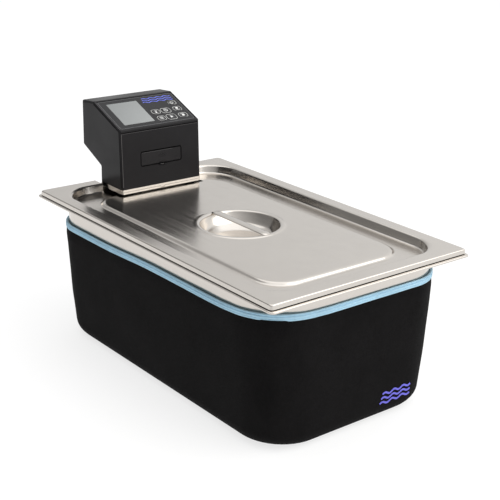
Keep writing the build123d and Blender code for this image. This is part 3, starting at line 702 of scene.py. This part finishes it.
def along_loop(points, pitch):
    """Points at even steps round a closed loop, about one pitch apart."""
    closed = [Vector(p) for p in points] + [Vector(points[0])]
    lengths = [0.0]
    for a, b in zip(closed, closed[1:]):
        lengths.append(lengths[-1] + (b - a).length)
    total = lengths[-1]
    steps = round(total / pitch)
    out = []
    seg = 0
    for k in range(steps):
        d = total * k / steps
        while lengths[seg + 1] < d:
            seg += 1
        t = (d - lengths[seg]) / max(1e-9, lengths[seg + 1] - lengths[seg])
        out.append(closed[seg].lerp(closed[seg + 1], t))
    return out


STITCH_PITCH = 4.4
seam_line = [soften(p, TAPE_SOFT) for p in loop((*grow(at_height(SEAM_Z), 0.9), SEAM_Z))]
stitches = []
spots = along_loop(seam_line, STITCH_PITCH)
for p, q in zip(spots, spots[1:] + spots[:1]):
    stitches.append(capsule(p.lerp(q, 0.12), p.lerp(q, 0.82), 0.36))
make("tape_stitches", *merged(stitches), THREAD, "jacket", "binding", 60)

# the foam's slanting stitches up the middle of the back
BACK_STITCHES = 26
BACK_FOOT = 30.0
BACK_PITCH = 5.6
back_seam = []
for k in range(BACK_STITCHES):
    z = BACK_FOOT + k * BACK_PITCH
    dims = at_height(z)
    p = soften((0.0, dims[1] + 0.1, z), 1.0)
    q = soften((0.0, dims[1] + 0.1, z + 3.6), 1.0)
    back_seam.append(capsule((-2.6, p[1], p[2]), (2.6, q[1], q[2]), 0.45))
make("jacket_back_seam", *merged(back_seam), MATERIALS["neoprene"], "jacket", "neoprene", 60)


# ------------------------------------------------------------------ flat printed and raised details, painted shadows and highlights
class Flat:
    """A sloping face of the head: x across it, s up it, depth into it."""

    def __init__(self, low, high):
        length = math.hypot(high[0] - low[0], high[1] - low[1])
        self.low = low
        self.up = ((high[0] - low[0]) / length, (high[1] - low[1]) / length)

    def at(self, x, s, depth):
        y = self.low[0] + self.up[0] * s + self.up[1] * depth
        z = self.low[1] + self.up[1] * s - self.up[0] * depth
        return (x + HEAD_X, y, z)


FRONT_FOOT, FRONT_TOP, PANEL_TOP = (195.5, 216.0), (200.0, 304.0), (273.5, 333.5)   # as y and z
FRONT = Flat(FRONT_FOOT, FRONT_TOP)
PANEL = Flat(FRONT_TOP, PANEL_TOP)


def band(path, width, place, low, high, closed=False):
    """A raised line of even width along path, on the surface that place(x, s, depth) gives."""
    pts = [Vector((p[0], p[1])) for p in path]
    n = len(pts)
    rings = []
    for i, p in enumerate(pts):
        a = pts[(i - 1) % n] if closed or i > 0 else p
        b = pts[(i + 1) % n] if closed or i < n - 1 else p
        d1 = (p - a).normalized() if (p - a).length else (b - p).normalized()
        d2 = (b - p).normalized() if (b - p).length else d1
        d = (d1 + d2).normalized() if (d1 + d2).length > 1e-6 else d1
        stretch = 1.0 / max(0.5, d.dot(d2))
        off = Vector((-d.y, d.x)) * width / 2 * stretch
        l, r = p + off, p - off
        rings.append([place(l.x, l.y, low), place(l.x, l.y, high),
                      place(r.x, r.y, high), place(r.x, r.y, low)])
    verts, faces = join_rings(rings, wrap=closed)
    if not closed:
        faces += [(0, 1, 2, 3), tuple(range(len(verts) - 4, len(verts)))]
    return verts, faces


def patch(path, place, low, high):
    """A filled, slightly raised outline."""
    n = len(path)
    verts = [place(x, s, low) for x, s in path] + [place(x, s, high) for x, s in path]
    faces = [tuple(range(n)), tuple(range(n, 2 * n))]
    faces += [(k, (k + 1) % n, n + (k + 1) % n, n + k) for k in range(n)]
    return verts, faces


def rounded(cx, cs, w, h, r, n=5):
    """The outline of a rounded rectangle round (cx, cs)."""
    out = []
    for sx, sy, start in CORNERS:
        for k in range(n + 1):
            a = math.radians(start + 90 * k / n)
            out.append((cx + sx * (w / 2 - r) + r * math.cos(a), cs + sy * (h / 2 - r) + r * math.sin(a)))
    return out


def arc(cx, cs, r, a0, a1, n=16):
    angles = [math.radians(a0 + (a1 - a0) * k / n) for k in range(n + 1)]
    return [(cx + r * math.cos(a), cs + r * math.sin(a)) for a in angles]


def waves(x0, x1, s0, s1, place, low, high, periods, width, lean=0.0):
    """A plain mark: three rows of waves, each starting a little further in than the one below."""
    rows = 3
    parts = []
    pitch = (s1 - s0) / rows
    for row in range(rows):
        mid = s0 + pitch * (row + 0.5)
        inset = 0.3 * row * pitch
        path = []
        for k in range(periods * 14 + 1):
            t = k / (periods * 14)
            x = x0 + inset + (x1 - x0 - inset) * t
            swing = pitch * 0.26 * math.sin(2 * math.pi * periods * t)
            path.append((x, mid + lean * (x - x0) + swing))
        parts.append(band(path, width, place, low, high))
    return parts


# key surrounds: the middle, width and height of the outline printed round each key
SURROUNDS = {
    "key_power": (53.4, 50.2, 13.0, 9.6),
    "key_temp": (13.2, 33.6, 14.0, 10.4),
    "key_time": (31.0, 33.2, 16.4, 11.6),
    "key_up": (52.6, 33.9, 14.0, 10.0),
    "key_mode": (13.2, 16.2, 13.6, 10.4),
    "key_start": (31.0, 16.0, 16.4, 12.6),
    "key_down": (52.4, 16.6, 14.6, 10.4),
}
# the middle of each keycap
KEYS = {
    "key_power": (52.0, 50.0),
    "key_temp": (13.0, 33.5),
    "key_time": (31.0, 33.5),
    "key_up": (52.0, 33.5),
    "key_mode": (13.0, 16.0),
    "key_start": (31.0, 16.0),
    "key_down": (52.0, 16.0),
}
INK_LOW, INK_HIGH = 0.62, 0.52   # a print's foot and face; the film lies 0.6 below the head's slope
outlines = []
for key, (cx, cs, w, h) in SURROUNDS.items():
    outlines.append(band(rounded(cx, cs, w, h, 3.6), 0.8, PANEL.at, INK_LOW, INK_HIGH, closed=True))
make("key_outlines", *merged(outlines), WHITE_INK, "circulator", "overlay_film")

frame_line = band(rounded(0, 39.6, 130.5, 70.4, 2.4), 0.7, PANEL.at, INK_LOW, INK_HIGH, closed=True)
make("panel_border", *frame_line, FRAME_INK, "circulator", "overlay_film")
# painted highlight along the display window's left and lower edges
display_highlight = band([(-54.6, 67.6), (-54.6, 11.9), (-1.4, 11.9)], 0.8, PANEL.at, INK_LOW, 0.45)
make("display_edge_highlight", *display_highlight, EDGE_HIGHLIGHT, "circulator", "overlay_film")


# parting lines of the moulded head: a dark gap, with a painted highlight on the edge beside it; the same dark
# also paints the shadow under the flap's top edge and the shade in its finger notch
def left_side(y, z, depth):
    return (HEAD_X - HEAD_HALF + depth, y, z)


def right_side(y, z, depth):
    return (HEAD_X + HEAD_HALF - depth, y, z)


LINE_DEPTH = 3.05   # the side's parting line runs this far behind the front and the panel
line_yz = [FRONT.at(0, s, LINE_DEPTH)[1:] for s in (2.0, 84.4)]
line_yz += [PANEL.at(0, s, LINE_DEPTH)[1:] for s in (2.4, 76.0)]
gap_and_shadow_bands = [band(line_yz, 1.3, side, 0.3, -0.05) for side in (left_side, right_side)]
gap_and_shadow_bands.append(band([(-HEAD_HALF + 1.6, 84.0), (HEAD_HALF - 1.6, 84.0)], 1.2, FRONT.at, 0.3, -0.03))
gap_and_shadow_bands.append(band(rounded(0, 40.7, 72.6, 21.2, 3.0), 1.3, FRONT.at, 0.35, -0.03, closed=True))
# painted shadow under the flap's top edge
gap_and_shadow_bands.append(band([(-35.4, 51.6), (35.4, 51.6)], 1.9, FRONT.at, 0.3, -0.03))
# painted shade in the flap's finger notch
turns = [math.pi * k / 12 for k in range(13)]
notch_shade_outline = [(2 + 6.4 * math.cos(a), 31.0 - 3.0 * math.sin(a)) for a in turns]
gap_and_shadow_bands.append(patch(notch_shade_outline, FRONT.at, 0.3, -0.035))
make("parting_gaps_and_shade", *merged(gap_and_shadow_bands), GAP_AND_SHADOW, "circulator", "housing_plastic")
# painted highlights: lit lines on the front's left edge, along the top of the front, on the slope's left edge
# and near the flap's top edge, and a glint under the flap's finger notch
highlight_bands = [
    band([(-HEAD_HALF + 2.3, 3.0), (-HEAD_HALF + 2.3, 83.0)], 0.75, FRONT.at, 0.2, -0.04),
    band([(-HEAD_HALF + 2.3, 82.6), (HEAD_HALF - 2.3, 82.6)], 0.35, FRONT.at, 0.2, -0.03),
    band([(-HEAD_HALF + 2.2, 3.0), (-HEAD_HALF + 2.2, 75.0)], 0.5, PANEL.at, 0.2, -0.03),
    band([(-1.6, 29.4), (1.2, 28.7), (4.4, 29.2)], 0.7, FRONT.at, 0.2, -0.05),
    band([(-34.0, 50.0), (20.0, 50.0)], 0.35, FRONT.at, 0.2, 0.16),
]
make("painted_edge_highlights", *merged(highlight_bands), EDGE_HIGHLIGHT, "circulator", "housing_plastic")
make("panel_waves", *merged(waves(6.0, 60.5, 57.2, 71.4, PANEL.at, INK_LOW, INK_HIGH, 4, 1.5)),
     BLUE_INK, "circulator", "overlay_film")

GLYPH_LOW, GLYPH_HIGH = 0.32, 0.2   # a sign's foot and face, measured down from the slope


def glyph(key):
    """The plain sign on a keycap, as raised lines and patches."""
    x, s = KEYS[key]

    def line(path, width=0.8, closed=False):
        return band([(x + a, s + b) for a, b in path], width, PANEL.at, GLYPH_LOW, GLYPH_HIGH, closed)

    def solid(path):
        return patch([(x + a, s + b) for a, b in path], PANEL.at, GLYPH_LOW, GLYPH_HIGH)

    if key == "key_power":
        return [line(arc(0, -0.3, 2.5, 120, 420)), line([(0, 0.2), (0, 3.0)])]
    if key == "key_temp":
        return [line([(0, 3.2), (0, -1.0)], 1.0), solid(arc(0, -2.2, 1.4, 0, 345, 11)),
                line([(1.4, 2.4), (2.8, 2.4)], 0.6), line([(1.4, 0.9), (2.8, 0.9)], 0.6)]
    if key == "key_time":
        return [line(arc(0, 0, 2.9, 0, 345, 20), 0.75, True), line([(0, 1.8), (0, 0), (1.5, 0)], 0.7)]
    if key == "key_mode":
        return [line([(-2.8, 2.0 - 2.0 * k), (2.8, 2.0 - 2.0 * k)], 0.8) for k in range(3)]
    if key == "key_start":
        return [solid([(-1.8, -2.6), (2.9, 0.0), (-1.8, 2.6)])]
    if key == "key_up":
        dot_at, wing_side = 1.2, -1
    else:
        dot_at, wing_side = -0.4, 1
    wing = [(-3.6, 2.6 * wing_side), (0, 3.6 * wing_side), (3.6, 2.6 * wing_side)]
    return [solid(arc(0, dot_at, 2.3, 0, 345, 15)), line(wing, 0.7)]


for key in KEYS:
    make(key + "_sign", *merged(glyph(key)), SIGN_INK, key, "key_plastic")

TRAY_FRONT = 195.2


# painted shade along the hem of the tray's front edge, and a painted shadow under the small raised badge on
# it
def tray_front(x, z, depth):
    return (x + HEAD_X, TRAY_FRONT + depth, z)


hem_shade_line = band([(-68.0, 211.7), (68.0, 211.7)], 0.5, tray_front, 0.2, -0.02)
badge_shadow = patch(rounded(0.6, 210.3, 7.4, 2.2, 1.0), tray_front, 0.1, -0.08)
make("tray_painted_shade", *merged([hem_shade_line, badge_shadow]), TRAY_SHADE, "circulator", "steel_satin")
badge = patch(rounded(0, 211.6, 7.0, 3.0, 1.4), tray_front, 0.1, -0.3)
make("tray_badge", *badge, MATERIALS["steel_satin"], "circulator", "steel_satin")

# three low ribs on the flap
RIB_TOP, RIB_PITCH = 44.5, 1.9
ribs = []
for k in range(3):
    s = RIB_TOP - RIB_PITCH * k
    ribs.append(band([(-5.0, s), (9.0, s)], 0.7, FRONT.at, 0.25, 0.02))
make("flap_ribs", *merged(ribs), MATERIALS["housing_plastic"], "flap", "housing_plastic")


def jacket_front(x, z, depth):
    """A point of the jacket's short front side."""
    dims = at_height(z)
    p = soften((x, -dims[1], z), 1.0)
    return (p[0], p[1] + depth, p[2])


make("jacket_waves", *merged(waves(36.0, 90.0, 20.5, 40.0, jacket_front, 0.2, -0.35, 3, 2.6, 0.03)),
     JACKET_INK, "jacket", "neoprene")

# ------------------------------------------------------------------ floor, light, camera
FLOOR_HALF = 9.0       # metres
FLOOR_DROP = 0.0006    # metres, so that it lies just under the jacket
FLOOR_GLOW = 0.74
floor_mesh = bpy.data.meshes.new("floor")
floor_corners = [(x * FLOOR_HALF, y * FLOOR_HALF, 0) for x, y in ((-1, -1), (1, -1), (1, 1), (-1, 1))]
floor_mesh.from_pydata(floor_corners, [], [(0, 1, 2, 3)])
floor = new_object("floor", floor_mesh)
floor.location.z = -FLOOR_DROP
n = Nodes("floor_white")
n.colour(n.noise(0.6), (0.30, 0.30, 0.30), (0.32, 0.32, 0.32))
n.shader.inputs["Roughness"].default_value = 0.9
n.shader.inputs["Specular IOR Level"].default_value = 0.0
n.shader.inputs["Emission Color"].default_value = (1, 1, 1, 1)
n.shader.inputs["Emission Strength"].default_value = FLOOR_GLOW
floor_mesh.materials.append(n.mat)

# the room: brighter on one side, by the cosine of the angle to that side
BRIGHT_SIDE = (0.80, -0.35, 0.48)
ROOM_DIM, ROOM_BRIGHT = 0.22, 1.15
world = bpy.data.worlds.new("studio")
bpy.context.scene.world = world
world.use_nodes = True
wt = world.node_tree
back = wt.nodes["Background"]
coord = wt.nodes.new("ShaderNodeTexCoord")
dot = wt.nodes.new("ShaderNodeVectorMath")
dot.operation = "DOT_PRODUCT"
dot.inputs[1].default_value = Vector(BRIGHT_SIDE).normalized()
wt.links.new(coord.outputs["Generated"], dot.inputs[0])
ramp = wt.nodes.new("ShaderNodeMapRange")
ramp.inputs["From Min"].default_value = -0.7
ramp.inputs["From Max"].default_value = 0.9
ramp.inputs["To Min"].default_value = ROOM_DIM
ramp.inputs["To Max"].default_value = ROOM_BRIGHT
wt.links.new(dot.outputs["Value"], ramp.inputs["Value"])
wt.links.new(ramp.outputs["Result"], back.inputs["Strength"])
back.inputs["Color"].default_value = (1.0, 1.0, 1.0, 1)


def area_light(name, place, aim, size, power, color=(1, 1, 1)):
    data = bpy.data.lights.new(name, "AREA")
    data.shape = "RECTANGLE"
    data.size, data.size_y = size
    data.energy = power
    data.color = color
    light = new_object(name, data)
    light.location = place
    light.rotation_euler = (Vector(aim) - Vector(place)).to_track_quat("-Z", "Y").to_euler()


area_light("key_front_right", (1.2, -2.2, 2.3), (0, 0, 0.15), (3.4, 2.8), 48, (1.0, 0.98, 0.94))
area_light("overhead", (0.1, 0.3, 2.8), (0, 0, 0.2), (3.4, 3.4), 24)

# the camera looks at the front left corner from above and is rolled a little
AZIMUTH, ELEVATION, ROLL = (math.radians(v) for v in (-38.909, 20.088, 1.369))
LENS = 81.607
SENSOR = 36.0
AIM = (128.74, 134.406, 100.0)   # in drawing units, as is the next
DISTANCE = 1774.343
across = math.cos(ELEVATION)
away = Vector((math.sin(AZIMUTH) * across, -math.cos(AZIMUTH) * across, math.sin(ELEVATION)))
level = Vector((math.cos(AZIMUTH), math.sin(AZIMUTH), 0))
upright = away.cross(level)
right = level * math.cos(ROLL) + upright * math.sin(ROLL)
upward = -level * math.sin(ROLL) + upright * math.cos(ROLL)
camera_data = bpy.data.cameras.new("camera")
camera_data.lens = LENS
camera_data.sensor_width = SENSOR
camera_data.clip_end = 60.0
camera = new_object("camera", camera_data)
place = (Vector(AIM) + away * DISTANCE - right) * U
camera.matrix_world = Matrix((
    (right.x, upward.x, away.x, place.x),
    (right.y, upward.y, away.y, place.y),
    (right.z, upward.z, away.z, place.z),
    (0, 0, 0, 1),
))
bpy.context.scene.camera = camera
bpy.context.scene.view_settings.view_transform = "Standard"
